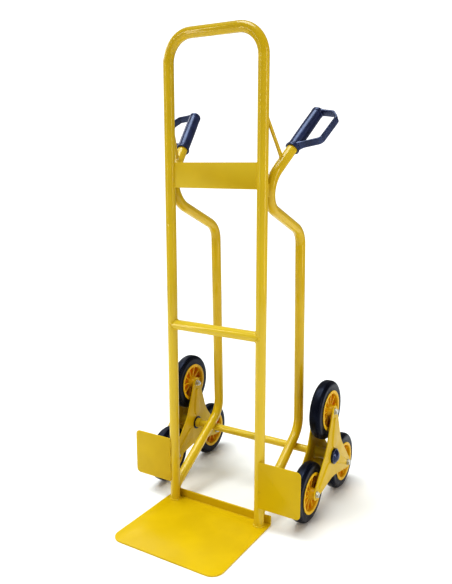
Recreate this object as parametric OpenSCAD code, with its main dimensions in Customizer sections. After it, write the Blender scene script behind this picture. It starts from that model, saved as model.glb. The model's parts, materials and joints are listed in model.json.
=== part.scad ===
// Stair climbing trolley: a welded tube frame with a toe plate, two hand grips
// and a free-turning star of three wheels on each side.
// Millimetres. +X right, +Y to the back, +Z up. The origin is on the floor,
// in the middle of the footprint.

/* [Frame] */
// Height from the floor to the top of the hoop
total_h = 1170; // [1120:5:1230]
// Outside diameter of the frame tubes
tube_d = 25; // [24:0.5:26]
// Wall thickness of the frame tubes
tube_wall = 1.5; // [1.2:0.1:2.5]
// Distance between the centrelines of the uprights
upright_gap = 250; // [240:2:264]
// Centreline radius of the two bends at the top of the hoop
hoop_bend_r = 62; // [45:1:80]
// Height of the cross plate's middle
cross_plate_z = 842; // [830:1:846]
// Height of the cross plate's face
cross_plate_h = 59; // [40:1:64]
// Thickness of the cross plate
cross_plate_t = 3; // [2:0.5:5]
// Height of the mid tube's centreline
mid_tube_z = 476; // [400:1:560]

/* [Toe plate] */
// Width of the toe plate
toe_w = 298; // [290:2:310]
// Distance from the uprights' centreline to the toe plate's front edge
toe_reach = 232; // [200:2:260]
// Sheet thickness of the toe plate
toe_t = 4; // [3:0.5:5]
// Height of the lip behind the uprights
toe_lip_h = 25; // [18:1:28]
// Radius of the two front corners
toe_corner_r = 30; // [15:1:50]

/* [Wheel guards] */
// Distance from the middle of the trolley to a guard's outer edge
guard_outer_x = 240; // [200:1:248]
// Height of a guard's lower edge
guard_bottom_z = 56; // [40:1:70]
// Height of a guard
guard_h = 119; // [90:1:140]
// Sheet thickness of a guard
guard_t = 2.5; // [2:0.5:4]

/* [Rear tubes] */
// Rise of the legs that lead from the uprights to the knees, in degrees
leg_slope = 33.2; // [31:0.2:35]
// Distance from the uprights' centreline back to the knee corner
knee_y = 217; // [212:1:222]
// Distance from the uprights' centreline back to the shoulder corner
shoulder_y = 202; // [196:1:210]
// Height of the shoulder corner
shoulder_z = 702; // [690:1:712]
// Height of the elbow corner, where a rear tube meets its upright
elbow_z = 797; // [792:1:802]
// Distance from the middle of the trolley to the end of a handle
handle_x = 174; // [165:1:182]
// Distance from the uprights' centreline back to the end of a handle
handle_y = 181; // [170:1:190]
// Height of the end of a handle
handle_z = 989; // [975:1:1000]

/* [Grips] */
// Length of a grip along its handle
grip_len = 130; // [122:1:136]
// Diameter of a grip
grip_d = 29.5; // [28.5:0.5:32]
// Distance from a grip's axis to the middle of its knuckle guard
knuckle_reach = 58; // [50:1:62]
// Width of the knuckle guard's strap
strap_w = 18; // [12:1:20]
// Thickness of the knuckle guard's strap
strap_t = 5; // [4:0.5:6]

/* [Wheels] */
// Diameter of a wheel over its tyre
wheel_d = 150; // [140:2:156]
// Width of a tyre
tyre_w = 30; // [26:1:32]
// Diameter of the rim where the tyre sits
rim_d = 98; // [90:1:104]
// Number of ribs on each side of a rim
rim_ribs = 10; // [6:1:14]

/* [Stars] */
// Distance from the axle to a wheel's bolt
star_arm = 120; // [112:1:126]
// Distance from the uprights' centreline back to the axle
axle_y = 191; // [188:1:196]
// Diameter of the axle
axle_d = 20; // [18:0.5:20]
// Distance from the middle of the trolley to the middle of a wheel
wheel_x = 210.5; // [206:0.5:216]
// Sheet thickness of a star plate
star_t = 3; // [2.5:0.5:4]
// Radius of the round tip of a star plate's arm
star_tip_r = 15; // [13:0.5:17]

/* [Hidden] */

$fn = 64;
LEFT = -1;
RIGHT = 1;
INNER = -1;
OUTER = 1;
TOP = 90;
FRONT = 210;
REAR = 330;
ARMS = [TOP, FRONT, REAR];

YELLOW = [0.86, 0.68, 0.08];
RIM_YELLOW = [0.93, 0.62, 0.06];
BLACK = [0.06, 0.06, 0.08];
ZINC = [0.75, 0.76, 0.78];

touch = 0.02;      // gap where two fixed pieces touch
run_gap = 0.05;    // radial clearance of a turning fit
side_gap = 0.3;    // gap beside a turning piece
overrun = 1;       // how far a cutter passes the face that it cuts

tube_r = tube_d / 2;
upright_x = upright_gap / 2;
wheel_r = wheel_d / 2;
axle_r = axle_d / 2;
axle_z = wheel_r + star_arm * sin(30);
wheels_back_y = axle_y + star_arm * cos(30) + wheel_r;
upright_y = (toe_reach - wheels_back_y) / 2;

// Each leg lies on the axle, tangent to it.
leg_lift = tube_r + axle_r + run_gap;
leg_on_axle = [axle_y - leg_lift * sin(leg_slope), axle_z + leg_lift * cos(leg_slope)];
function leg_z(y) = leg_on_axle[1] + (y - leg_on_axle[0]) * tan(leg_slope);
leg_start_y = 4;
knee_bend_r = 60;
shoulder_bend_r = 50;
elbow_bend_r = 58;
// The elbow's corner lies ahead of the uprights, so that the bend just reaches their backs.
elbow_y = tube_d - 45.5;
elbow = [upright_x, elbow_y, elbow_z];
handle_end = [handle_x, handle_y, handle_z];
handle_dir = unit(handle_end - elbow);
outward = unit([1, 0, 0] - handle_dir * handle_dir[0]);
grip_base = handle_end - handle_dir * (grip_len - 1);
tube_in_grip = 8;  // how far the tube stops short of the grip's tip

plate_half_gap = 23.5;
x_in = wheel_x - plate_half_gap;
x_out = wheel_x + plate_half_gap;
hub_tube_r = 14;
bush_r = 12;
bush_flange_r = 18;
bush_flange_t = 2;
bush_len = 20;
collar_r = 13.5;
collar_len = 12;
axle_washer_r = 15;
axle_washer_t = 1.5;
clip_r = 13;
clip_t = 1.2;
cap_wall = 2;
cap_skirt = 6;
cap_rise = 15;
axle_half = x_out + star_t + bush_flange_t + side_gap + axle_washer_t + clip_t + 2;

bolt_r = 4;
bolt_hole_r = 4.2;
sleeve_r = 6;
hex_af = 13;
head_t = 5.3;
nut_t = 6.5;
bolt_washer_r = 8;
bolt_washer_t = 1.6;
thread_out = 5;

hub_end_gap = 0.5;
rim_r = rim_d / 2;
rim_lip_r = rim_r + 2.5;
rim_lip_t = 1.7;
rim_ring_in_r = rim_r - 5.5;
rim_half_w = tyre_w / 2 + 0.3;
rim_hub_r = 17;
rim_hub_end_r = 13;
rim_web_t = 5;
rim_rib_t = 3.2;
rim_rib_depth = 10.5;
tyre_shoulder_r = 11;

star_waist_r = 55.5;
star_waist_bend_r = 110;
star_rib_w = 13;
star_rib_h = 1.5;
star_rib_from = 40;
star_rib_to = 92;

// ---- helpers ----

function unit(v) = v / norm(v);
function turn_of(a, b, c) = 180 - acos(unit(a - b) * unit(c - b));
function trim_of(a, b, c, r) = r * tan(turn_of(a, b, c) / 2);

function on_circle(r, angle) = r * [cos(angle), sin(angle)];

// Points along an arc on XY
function arc(centre, r, from, to, steps) =
    [for (i = [0 : steps]) centre + on_circle(r, from + (to - from) * i / steps)];

// Everything is drawn from the uprights' plane, then moved to the part's own origin.
module placed() {
    translate([0, upright_y, 0]) children();
}

// Drawn for the right side. The left side is its mirror image.
module on_side(side) {
    if (side == LEFT) mirror([1, 0, 0]) children();
    if (side == RIGHT) children();
}

module in_frame(x, y, z, o) {
    multmatrix([
        [x[0], y[0], z[0], o[0]],
        [x[1], y[1], z[1], o[1]],
        [x[2], y[2], z[2], o[2]],
        [0, 0, 0, 1]
    ]) children();
}

// Turns a shape drawn on XY so that its X lies on Y, its Y on Z and its height on X.
module along_x(x) {
    translate([x, 0, 0]) rotate([90, 0, 90]) children();
}

module at_axle() {
    translate([0, axle_y, axle_z]) children();
}

module at_arm(angle) {
    at_axle() translate([0, star_arm * cos(angle), star_arm * sin(angle)]) children();
}

module ring_2d(r, hole_r) {
    difference() {
        circle(r = r);
        circle(r = hole_r);
    }
}

module ring_x(x, len, r, hole_r) {
    along_x(x) linear_extrude(len) ring_2d(r, hole_r);
}

// ---- bent tubes ----

// How much thinner the wall is on each face, in a bend that laps into the straights beside it
bend_thinning = 0.02;

module straight_tube(a, b) {
    z = unit(b - a);
    side = abs(z[0]) < 0.9 ? [1, 0, 0] : [0, 1, 0];
    x = unit(side - z * (side * z));
    in_frame(x, cross(z, x), z, a) linear_extrude(norm(b - a)) ring_2d(tube_r, tube_r - tube_wall);
}

module tube_bend(a, b, c, r, lap) {
    u = unit(a - b);
    w = unit(c - b);
    turn = turn_of(a, b, c);
    centre = b + unit(u + w) * r / cos(turn / 2);
    x = unit(b + u * trim_of(a, b, c, r) - centre);
    lap_angle = lap / r * 180 / PI;
    thinning = lap > 0 ? bend_thinning : 0;
    in_frame(x, -u, cross(x, -u), centre) rotate(-lap_angle)
        rotate_extrude(angle = turn + 2 * lap_angle) translate([r, 0])
            ring_2d(tube_r - thinning, tube_r - tube_wall + thinning);
}

// A tube along corner points, with one bend radius for each corner. On a slanting route each
// bend laps into the straights beside it.
module bent_tube(points, radii, lap = 0) {
    last = len(points) - 1;
    trims = [for (i = [0 : last])
        (i == 0 || i == last) ? 0 : trim_of(points[i - 1], points[i], points[i + 1], radii[i - 1])];
    for (i = [0 : last - 1]) {
        dir = unit(points[i + 1] - points[i]);
        straight_tube(points[i] + dir * trims[i], points[i + 1] - dir * trims[i + 1]);
    }
    for (i = [1 : last - 1]) {
        tube_bend(points[i - 1], points[i], points[i + 1], radii[i - 1], lap);
    }
}

// The uprights stand in holes through the toe plate, just clear of the floor.
foot_z = 0.5;

// The space of the right upright up to a height, cut from what is welded to it
module upright_space(to_z = total_h - hoop_bend_r - tube_d) {
    translate([upright_x, 0, -overrun]) cylinder(r = tube_r + touch, h = to_z + overrun);
}

// ---- frame ----

module hoop_tube() {
    top = total_h - tube_r;
    color(YELLOW) placed() bent_tube(
        [[-upright_x, 0, foot_z], [-upright_x, 0, top], [upright_x, 0, top], [upright_x, 0, foot_z]],
        [hoop_bend_r, hoop_bend_r]
    );
}

module between_uprights() {
    difference() {
        children();
        upright_space();
        mirror([1, 0, 0]) upright_space();
    }
}

module cross_plate() {
    color(YELLOW) placed() between_uprights()
        translate([0, 0, cross_plate_z])
            cube([upright_gap - tube_r, cross_plate_t, cross_plate_h], center = true);
}

module mid_tube() {
    reach = upright_x - leg_start_y;
    color(YELLOW) placed() between_uprights()
        straight_tube([-reach, 0, mid_tube_z], [reach, 0, mid_tube_z]);
}

// The toe plate's section: a flat sheet that bends up into a lip
lip_front_y = tube_r + 2.5;
lip_bend_r = 1.5;

module toe_section() {
    back = lip_front_y + toe_t;
    outer_r = lip_bend_r + toe_t;
    translate([-toe_reach, 0]) square([toe_reach + back - outer_r, toe_t]);
    translate([lip_front_y, outer_r]) square([toe_t, toe_lip_h - outer_r]);
    intersection() {
        translate([back - outer_r, outer_r]) ring_2d(outer_r, lip_bend_r);
        translate([back - outer_r, 0]) square([outer_r, outer_r]);
    }
}

module toe_outline() {
    front = -toe_reach;
    back = lip_front_y + toe_t + overrun;
    x = toe_w / 2 - toe_corner_r;
    translate([-toe_w / 2, front + toe_corner_r]) square([toe_w, back - front - toe_corner_r]);
    translate([-x, front]) square([2 * x, toe_corner_r]);
    for (side = [-1, 1]) {
        translate([side * x, front + toe_corner_r]) circle(r = toe_corner_r);
    }
}

module toe_plate() {
    color(YELLOW) placed() between_uprights() intersection() {
        along_x(-toe_w / 2) linear_extrude(toe_w) toe_section();
        translate([0, 0, -overrun]) linear_extrude(toe_lip_h + 2 * overrun) toe_outline();
    }
}

module rounded_rectangle(width, height, r) {
    translate([0, r]) square([width, height - 2 * r]);
    translate([r, 0]) square([width - 2 * r, height]);
    for (x = [r, width - r], y = [r, height - r]) {
        translate([x, y]) circle(r = r);
    }
}

guard_inner_corner_r = 7;
guard_outer_corner_r = 11;

module guard_outline() {
    width = guard_outer_x - upright_x;
    intersection() {
        rounded_rectangle(width, guard_h, guard_inner_corner_r);
        square([width / 2, guard_h]);
    }
    intersection() {
        rounded_rectangle(width, guard_h, guard_outer_corner_r);
        translate([width / 2, 0]) square([width / 2, guard_h]);
    }
}

module wheel_guard(side) {
    back_y = -tube_r - touch;
    color(YELLOW) placed() on_side(side)
        translate([upright_x, back_y, guard_bottom_z]) rotate([90, 0, 0])
            linear_extrude(guard_t) guard_outline();
}

module rear_tube(side) {
    color(YELLOW) placed() on_side(side) difference() {
        bent_tube(
            [
                [upright_x, leg_start_y, leg_z(leg_start_y)],
                [upright_x, knee_y, leg_z(knee_y)],
                [upright_x, shoulder_y, shoulder_z],
                elbow,
                handle_end - handle_dir * tube_in_grip
            ],
            [knee_bend_r, shoulder_bend_r, elbow_bend_r],
            lap = 1
        );
        upright_space(leg_z(leg_start_y) + 4 * tube_d);
    }
}

brace_r = 4;
brace_foot = 112;  // distance of the brace's foot from the elbow corner
brace_top_z = 989;

module brace(side) {
    foot = elbow + handle_dir * brace_foot;
    top = [upright_x, 0, brace_top_z];
    z = unit(top - foot);
    x = unit([1, 0, 0] - z * z[0]);
    y = unit(cross(handle_dir, [1, 0, 0]));
    color(YELLOW) placed() on_side(side) difference() {
        in_frame(x, cross(z, x), z, foot) cylinder(r = brace_r, h = norm(top - foot));
        in_frame(cross(y, handle_dir), y, handle_dir, elbow)
            cylinder(r = tube_r + touch, h = 2 * brace_foot);
        upright_space();
    }
}

// ---- grips ----

grip_flange_r = 17;
grip_flange_t = 5;
grip_tip_r = 8;

module grip_profile() {
    r = grip_d / 2;
    polygon(concat(
        [[0, 0], [grip_flange_r, 0], [grip_flange_r, grip_flange_t - 1], [grip_flange_r - 1, grip_flange_t]],
        [[r, grip_flange_t + 1]],
        arc([r - grip_tip_r, grip_len - grip_tip_r], grip_tip_r, 0, 90, 8),
        [[0, grip_len]]
    ));
}

// The knuckle guard's corners: distance out from the grip's axis, and distance along it
knuckle_path = [
    [6, 11],
    [knuckle_reach - 1, 37],
    [knuckle_reach + 2, grip_len - 20],
    [knuckle_reach - 14, grip_len - 5],
    [4, grip_len - 4]
];
knuckle_bends = [15, 12, 14];

// One rounded corner of a flat path, moved sideways by off
function path_corner(a, b, c, r, off) =
    let (
        u = unit(a - b),
        w = unit(c - b),
        turn = turn_of(a, b, c),
        centre = b + unit(u + w) * r / cos(turn / 2),
        start = b + u * r * tan(turn / 2) - centre,
        from = atan2(start[1], start[0]),
        way = cross([start[0], start[1], 0], [-u[0], -u[1], 0])[2] > 0 ? 1 : -1
    )
    arc(centre, r - way * off, from, from + way * turn, 6);

function path_side(off) =
    let (
        p = knuckle_path,
        last = len(p) - 1,
        d0 = unit(p[1] - p[0]),
        d1 = unit(p[last] - p[last - 1])
    )
    concat(
        [p[0] + off * [-d0[1], d0[0]]],
        [for (i = [1 : last - 1]) each path_corner(p[i - 1], p[i], p[i + 1], knuckle_bends[i - 1], off)],
        [p[last] + off * [-d1[1], d1[0]]]
    );

function backwards(list) = [for (i = [len(list) - 1 : -1 : 0]) list[i]];

module knuckle_guard() {
    translate([0, strap_w / 2, 0]) rotate([90, 0, 0]) linear_extrude(strap_w)
        polygon(concat(path_side(strap_t / 2), backwards(path_side(-strap_t / 2))));
}

module grip(side) {
    color(BLACK) placed() on_side(side)
        in_frame(outward, cross(handle_dir, outward), handle_dir, grip_base) difference() {
            union() {
                rotate_extrude() grip_profile();
                knuckle_guard();
            }
            translate([0, 0, -overrun])
                cylinder(r = tube_r + touch, h = grip_len - tube_in_grip + 1.5 + overrun);
        }
}

// ---- axle ----

module axle() {
    color(YELLOW) placed() at_axle() along_x(-axle_half) cylinder(r = axle_r, h = 2 * axle_half);
}

module axle_collar(side) {
    x = x_in - star_t - bush_flange_t - side_gap - collar_len;
    color(YELLOW) placed() on_side(side) at_axle() ring_x(x, collar_len, collar_r, axle_r + touch);
}

washer_x = x_out + star_t + bush_flange_t + side_gap;

module axle_washer(side) {
    color(ZINC) placed() on_side(side) at_axle()
        ring_x(washer_x, axle_washer_t, axle_washer_r, axle_r + touch);
}

module axle_clip(side) {
    slot_w = 5;
    color(ZINC) placed() on_side(side) at_axle() difference() {
        ring_x(washer_x + axle_washer_t + touch, clip_t, clip_r, axle_r + touch);
        translate([washer_x, -slot_w / 2, -clip_r - overrun])
            cube([axle_washer_t + clip_t + overrun, slot_w, clip_r + overrun]);
    }
}

// ---- stars ----

// An arm's edges run straight from its round tip to the waists between the arms.
waist = star_waist_r * [cos(30), sin(30)];
tip_from_waist = [0, star_arm] - waist;
arm_lean = atan2(-tip_from_waist[0], tip_from_waist[1]) - asin(star_tip_r / norm(tip_from_waist));
waist_half_angle = 60 + arm_lean;
waist_centre_r = star_waist_r + star_waist_bend_r / sin(waist_half_angle);

function turned(p, angle) = [p[0] * cos(angle) - p[1] * sin(angle), p[0] * sin(angle) + p[1] * cos(angle)];

// One arm's tip and the waist that follows it
arm_points = concat(
    arc([0, star_arm], star_tip_r, arm_lean, 180 - arm_lean, 14),
    arc(waist_centre_r * [-cos(30), sin(30)], star_waist_bend_r, -arm_lean, arm_lean - 60, 8)
);

module star_outline() {
    polygon([for (turn = [0, 120, 240]) each [for (p = arm_points) turned(p, turn)]]);
}

module star_rib() {
    r = star_rib_w / 2;
    outline = concat(arc([0, star_rib_to], r, 0, 180, 12), arc([0, star_rib_from], r, 180, 360, 12));
    for (turn = [0, 120, 240]) {
        polygon([for (p = outline) turned(p, turn)]);
    }
}

module star_plate(side, face) {
    x = face == OUTER ? x_out : x_in - star_t;
    rib_x = face == OUTER ? x_out + star_t : x_in - star_t - star_rib_h;
    color(YELLOW) placed() on_side(side) at_axle() difference() {
        union() {
            along_x(x) linear_extrude(star_t) star_outline();
            along_x(rib_x) linear_extrude(star_rib_h) star_rib();
        }
        along_x(x - overrun) cylinder(r = bush_r + touch, h = star_t + 2 * overrun);
        for (angle = ARMS) {
            translate([0, star_arm * cos(angle), star_arm * sin(angle)])
                along_x(x - overrun) cylinder(r = bolt_hole_r, h = star_t + 2 * overrun);
        }
    }
}

module hub_tube(side) {
    color(YELLOW) placed() on_side(side) at_axle()
        ring_x(x_in, x_out - x_in, hub_tube_r, bush_r + touch);
}

module hub_bush(side, face) {
    flange_x = face == OUTER ? x_out + star_t : x_in - star_t - bush_flange_t;
    body_x = face == OUTER ? x_out + star_t - bush_len : x_in - star_t;
    color(BLACK) placed() on_side(side) at_axle() {
        ring_x(flange_x, bush_flange_t, bush_flange_r, axle_r + run_gap);
        ring_x(body_x, bush_len, bush_r, axle_r + run_gap);
    }
}

// The cap's section: distance from the axle's axis, and distance from the outer star plate
module hub_cap_profile() {
    cap_r = bush_flange_r + cap_wall;
    dome_h = cap_rise - cap_skirt;
    dome_r = (cap_r * cap_r + dome_h * dome_h) / (2 * dome_h);
    flange_h = bush_flange_t + side_gap;
    washer_h = flange_h + axle_washer_t + side_gap;
    end_h = axle_half - x_out - star_t + side_gap;
    polygon(concat(
        [[bush_flange_r + touch, touch], [cap_r, touch]],
        arc([0, cap_rise - dome_r], dome_r, acos(cap_r / dome_r), 90, 12),
        [[0, end_h], [clip_r + side_gap, end_h], [clip_r + side_gap, washer_h]],
        [[axle_washer_r + side_gap, washer_h], [axle_washer_r + side_gap, flange_h]],
        [[bush_flange_r + touch, flange_h]]
    ));
}

module hub_cap(side) {
    color(BLACK) placed() on_side(side) at_axle()
        along_x(x_out + star_t) rotate_extrude() hub_cap_profile();
}

// ---- wheel bolts ----

module hexagon(len) {
    cylinder(d = hex_af / cos(30), h = len, $fn = 6);
}

module wheel_bolts(side) {
    head_x = x_out + star_t + bolt_washer_t;
    end_x = x_in - star_t - bolt_washer_t - nut_t - thread_out;
    color(ZINC) placed() on_side(side) for (angle = ARMS) {
        at_arm(angle) {
            along_x(head_x) hexagon(head_t);
            along_x(end_x) cylinder(r = bolt_r, h = head_x - end_x);
        }
    }
}

module wheel_nuts(side) {
    nut_x = x_in - star_t - bolt_washer_t - nut_t;
    color(ZINC) placed() on_side(side) for (angle = ARMS) {
        at_arm(angle) along_x(nut_x) difference() {
            hexagon(nut_t);
            translate([0, 0, -overrun]) cylinder(r = bolt_r + touch, h = nut_t + 2 * overrun);
        }
    }
}

module wheel_washers(side) {
    color(ZINC) placed() on_side(side) for (angle = ARMS) {
        at_arm(angle) {
            ring_x(x_out + star_t, bolt_washer_t, bolt_washer_r, bolt_hole_r);
            ring_x(x_in - star_t - bolt_washer_t, bolt_washer_t, bolt_washer_r, bolt_hole_r);
        }
    }
}

module wheel_sleeves(side) {
    color(ZINC) placed() on_side(side) for (angle = ARMS) {
        at_arm(angle) ring_x(x_in, x_out - x_in, sleeve_r, bolt_hole_r);
    }
}

// ---- wheels ----

module tyre_profile() {
    crown = wheel_r - tyre_shoulder_r;
    half = tyre_w / 2;
    seat = rim_r + touch;
    translate([seat, -half]) square([crown - seat, tyre_w]);
    translate([crown, tyre_shoulder_r - half]) square([tyre_shoulder_r, tyre_w - 2 * tyre_shoulder_r]);
    for (side = [-1, 1]) {
        translate([crown, side * (half - tyre_shoulder_r)]) circle(r = tyre_shoulder_r);
    }
}

module tyre(side, angle) {
    color(BLACK) placed() on_side(side) at_arm(angle)
        along_x(wheel_x) rotate_extrude($fn = 128) tyre_profile();
}

// Half of the rim's section, on one side of the wheel's middle
module rim_profile() {
    hub_half = plate_half_gap - hub_end_gap;
    bore = sleeve_r + run_gap;
    polygon([
        [bore, 0], [rim_r, 0], [rim_r, rim_half_w],
        [rim_lip_r, rim_half_w], [rim_lip_r, rim_half_w + rim_lip_t],
        [rim_ring_in_r + 1.5, rim_half_w + rim_lip_t], [rim_ring_in_r, rim_half_w],
        [rim_ring_in_r, rim_web_t / 2],
        [rim_hub_r, rim_web_t / 2], [rim_hub_end_r, hub_half], [bore, hub_half]
    ]);
}

module rim_ribs() {
    inner = (rim_hub_r + rim_hub_end_r) / 2;
    for (i = [0 : rim_ribs - 1]) {
        rotate(i * 360 / rim_ribs)
            translate([inner, -rim_rib_t / 2, -rim_rib_depth])
                cube([rim_ring_in_r + overrun - inner, rim_rib_t, 2 * rim_rib_depth]);
    }
}

module rim(side, angle) {
    color(RIM_YELLOW) placed() on_side(side) at_arm(angle) along_x(wheel_x) {
        rotate_extrude($fn = 128) {
            rim_profile();
            mirror([0, 1]) rim_profile();
        }
        rim_ribs();
    }
}

hoop_tube();
cross_plate();
mid_tube();
toe_plate();
wheel_guard(LEFT);  // wheel_guard_left
wheel_guard(RIGHT);  // wheel_guard_right
rear_tube(LEFT);  // rear_tube_left
rear_tube(RIGHT);  // rear_tube_right
brace(LEFT);  // brace_left
brace(RIGHT);  // brace_right
grip(LEFT);  // grip_left
grip(RIGHT);  // grip_right
axle();
axle_collar(LEFT);  // axle_collar_left
axle_collar(RIGHT);  // axle_collar_right
axle_washer(LEFT);  // axle_washer_left
axle_washer(RIGHT);  // axle_washer_right
axle_clip(LEFT);  // axle_clip_left
axle_clip(RIGHT);  // axle_clip_right
star_plate(LEFT, INNER);  // star_plate_inner_left
star_plate(LEFT, OUTER);  // star_plate_outer_left
hub_tube(LEFT);  // hub_tube_left
hub_bush(LEFT, INNER);  // hub_bush_inner_left
hub_bush(LEFT, OUTER);  // hub_bush_outer_left
hub_cap(LEFT);  // hub_cap_left
wheel_bolts(LEFT);  // wheel_bolts_left
wheel_nuts(LEFT);  // wheel_nuts_left
wheel_washers(LEFT);  // wheel_washers_left
wheel_sleeves(LEFT);  // wheel_sleeves_left
tyre(LEFT, TOP);  // tyre_left_top
rim(LEFT, TOP);  // rim_left_top
tyre(LEFT, FRONT);  // tyre_left_front
rim(LEFT, FRONT);  // rim_left_front
tyre(LEFT, REAR);  // tyre_left_rear
rim(LEFT, REAR);  // rim_left_rear
star_plate(RIGHT, INNER);  // star_plate_inner_right
star_plate(RIGHT, OUTER);  // star_plate_outer_right
hub_tube(RIGHT);  // hub_tube_right
hub_bush(RIGHT, INNER);  // hub_bush_inner_right
hub_bush(RIGHT, OUTER);  // hub_bush_outer_right
hub_cap(RIGHT);  // hub_cap_right
wheel_bolts(RIGHT);  // wheel_bolts_right
wheel_nuts(RIGHT);  // wheel_nuts_right
wheel_washers(RIGHT);  // wheel_washers_right
wheel_sleeves(RIGHT);  // wheel_sleeves_right
tyre(RIGHT, TOP);  // tyre_right_top
rim(RIGHT, TOP);  // rim_right_top
tyre(RIGHT, FRONT);  // tyre_right_front
rim(RIGHT, FRONT);  // rim_right_front
tyre(RIGHT, REAR);  // tyre_right_rear
rim(RIGHT, REAR);  // rim_right_rear
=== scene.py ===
"""Looks of the stair climbing trolley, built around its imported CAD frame."""
import json
import math

import bmesh
import bpy
from mathutils import Matrix, Vector


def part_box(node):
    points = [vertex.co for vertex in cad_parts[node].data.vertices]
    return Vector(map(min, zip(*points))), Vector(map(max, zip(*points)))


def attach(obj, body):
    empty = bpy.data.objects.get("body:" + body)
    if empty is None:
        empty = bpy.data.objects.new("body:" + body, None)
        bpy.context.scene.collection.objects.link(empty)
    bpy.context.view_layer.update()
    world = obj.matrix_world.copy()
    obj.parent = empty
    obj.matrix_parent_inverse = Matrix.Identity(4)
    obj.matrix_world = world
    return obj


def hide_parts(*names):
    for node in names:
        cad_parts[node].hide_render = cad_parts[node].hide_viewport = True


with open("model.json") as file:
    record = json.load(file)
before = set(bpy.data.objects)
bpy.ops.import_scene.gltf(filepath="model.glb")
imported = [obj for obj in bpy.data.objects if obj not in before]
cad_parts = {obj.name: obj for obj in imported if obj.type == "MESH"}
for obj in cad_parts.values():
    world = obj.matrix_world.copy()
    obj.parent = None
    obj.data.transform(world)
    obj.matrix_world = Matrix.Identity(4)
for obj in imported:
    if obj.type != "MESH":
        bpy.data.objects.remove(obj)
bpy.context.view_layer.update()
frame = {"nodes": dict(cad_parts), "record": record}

# Shapes are drawn in millimetres from the uprights' plane, as in part.scad, then moved to the
# row frame in metres. The right side is drawn, and the left side is its mirror image.
MM = 0.001
OUT = Vector((1, 0, 0))
UP = Vector((0, 0, 1))
SIDES = {"left": -1, "right": 1}
ARMS = {"top": 90, "front": 210, "rear": 330}


def middle(node):
    low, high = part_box(node)
    return (low + high) / 2


UPRIGHT_PLANE = middle("hoop_tube").y
TO_ROW = Matrix.Translation((0, UPRIGHT_PLANE, 0)) @ Matrix.Scale(MM, 4)

TUBE_R = 12.5
UPRIGHT_X = 125.0
MID_TUBE_Z = 476.0

TOE_HALF_W = 149.0
TOE_FRONT_Y = -232.0
TOE_T = 4.0
TOE_BEND_Y = 13.5
TOE_BEND_OUTER_R = 5.5
TOE_LIP_H = 25.0

GUARD_INNER_X = UPRIGHT_X + 4.0
GUARD_OUTER_X = 240.0
GUARD_BOTTOM_Z = 56.0
GUARD_H = 119.0
GUARD_T = 2.5

CROSS_PLATE_Z = 842.0
CROSS_PLATE_H = 59.0
CROSS_PLATE_T = 3.0

AXLE_Y = 191.0
AXLE_Z = 135.0
AXLE_R = 10.0
STAR_ARM = 120.0
STAR_T = 3.0
PLATE_IN_X = 187.0
PLATE_OUT_X = 234.0
LEG_SLOPE = math.radians(33.2)
LEG_LIFT = TUBE_R + AXLE_R + 0.05

ELBOW = Vector((125.0, -20.5, 797.0))
HANDLE_END = Vector((174.0, 181.0, 989.0))
HANDLE_DIR = (HANDLE_END - ELBOW).normalized()
OUTWARD = (OUT - HANDLE_DIR * HANDLE_DIR.x).normalized()
GRIP_LEN = 130.0
GRIP_BASE = HANDLE_END - HANDLE_DIR * (GRIP_LEN - 1)
BRACE_R = 4.0
BRACE_FOOT = ELBOW + HANDLE_DIR * 112
BRACE_TOP = Vector((UPRIGHT_X, 0, 989))


# ---- mesh helpers ----

def matrix_of(x, y, z, origin):
    """The matrix that carries the three local axes to x, y and z."""
    rows = [[x[i], y[i], z[i], origin[i]] for i in range(3)]
    return Matrix(rows + [[0, 0, 0, 1]])


def mirrored(side):
    return Matrix.Diagonal((side, 1, 1, 1))


def on_circle(radius, degrees):
    angle = math.radians(degrees)
    return Vector((radius * math.cos(angle), radius * math.sin(angle)))


def arc(centre, radius, start, end, steps):
    """Points on a flat arc between two angles in degrees."""
    return [centre + on_circle(radius, start + (end - start) * i / steps) for i in range(steps + 1)]


def round_corner(before, corner, after, radius, steps):
    """The arc that rounds one corner of a path."""
    if radius <= 0:
        return [corner.copy()]
    u = (before - corner).normalized()
    w = (after - corner).normalized()
    half = u.angle(w) / 2
    centre = corner + (u + w).normalized() * radius / math.sin(half)
    start = corner + u * radius / math.tan(half) - centre
    end = corner + w * radius / math.tan(half) - centre
    sweep = start.angle(end)
    points = []
    for i in range(steps + 1):
        part = i / steps
        ends = start * math.sin((1 - part) * sweep) + end * math.sin(part * sweep)
        points.append(centre + ends / math.sin(sweep))
    return points


def rounded_loop(points, radii, steps=4):
    """A closed polygon with its corners rounded."""
    corners = [Vector(p) for p in points]
    count = len(corners)
    loop = []
    for i, corner in enumerate(corners):
        loop += round_corner(corners[i - 1], corner, corners[(i + 1) % count], radii[i], steps)
    return loop


def rounded_path(points, radii, steps=6):
    """An open path with its inner corners rounded."""
    corners = [Vector(p) for p in points]
    path = [corners[0]]
    for i in range(1, len(corners) - 1):
        path += round_corner(corners[i - 1], corners[i], corners[i + 1], radii[i - 1], steps)
    return path + [corners[-1]]


def resampled(path, spacing, closed=False):
    """The same path with points at an even spacing, and the distance to each."""
    if closed:
        path = path + [path[0]]
    lengths = [0.0]
    for a, b in zip(path, path[1:]):
        lengths.append(lengths[-1] + (b - a).length)
    count = max(3, round(lengths[-1] / spacing))
    points = []
    distances = []
    span = 0
    for i in range(count if closed else count + 1):
        wanted = lengths[-1] * i / count
        while span < len(lengths) - 2 and lengths[span + 1] < wanted:
            span += 1
        part = (wanted - lengths[span]) / max(lengths[span + 1] - lengths[span], 1e-9)
        points.append(path[span].lerp(path[span + 1], part))
        distances.append(wanted)
    return points, distances


def ring_faces(bm, a, b):
    """Smooth faces between two loops of vertices. A loop of one vertex makes a fan."""
    count = max(len(a), len(b))
    for i in range(count):
        j = (i + 1) % count
        corners = [a[i % len(a)], a[j % len(a)], b[j % len(b)], b[i % len(b)]]
        face = bm.faces.new(list(dict.fromkeys(corners)))
        face.smooth = True


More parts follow.
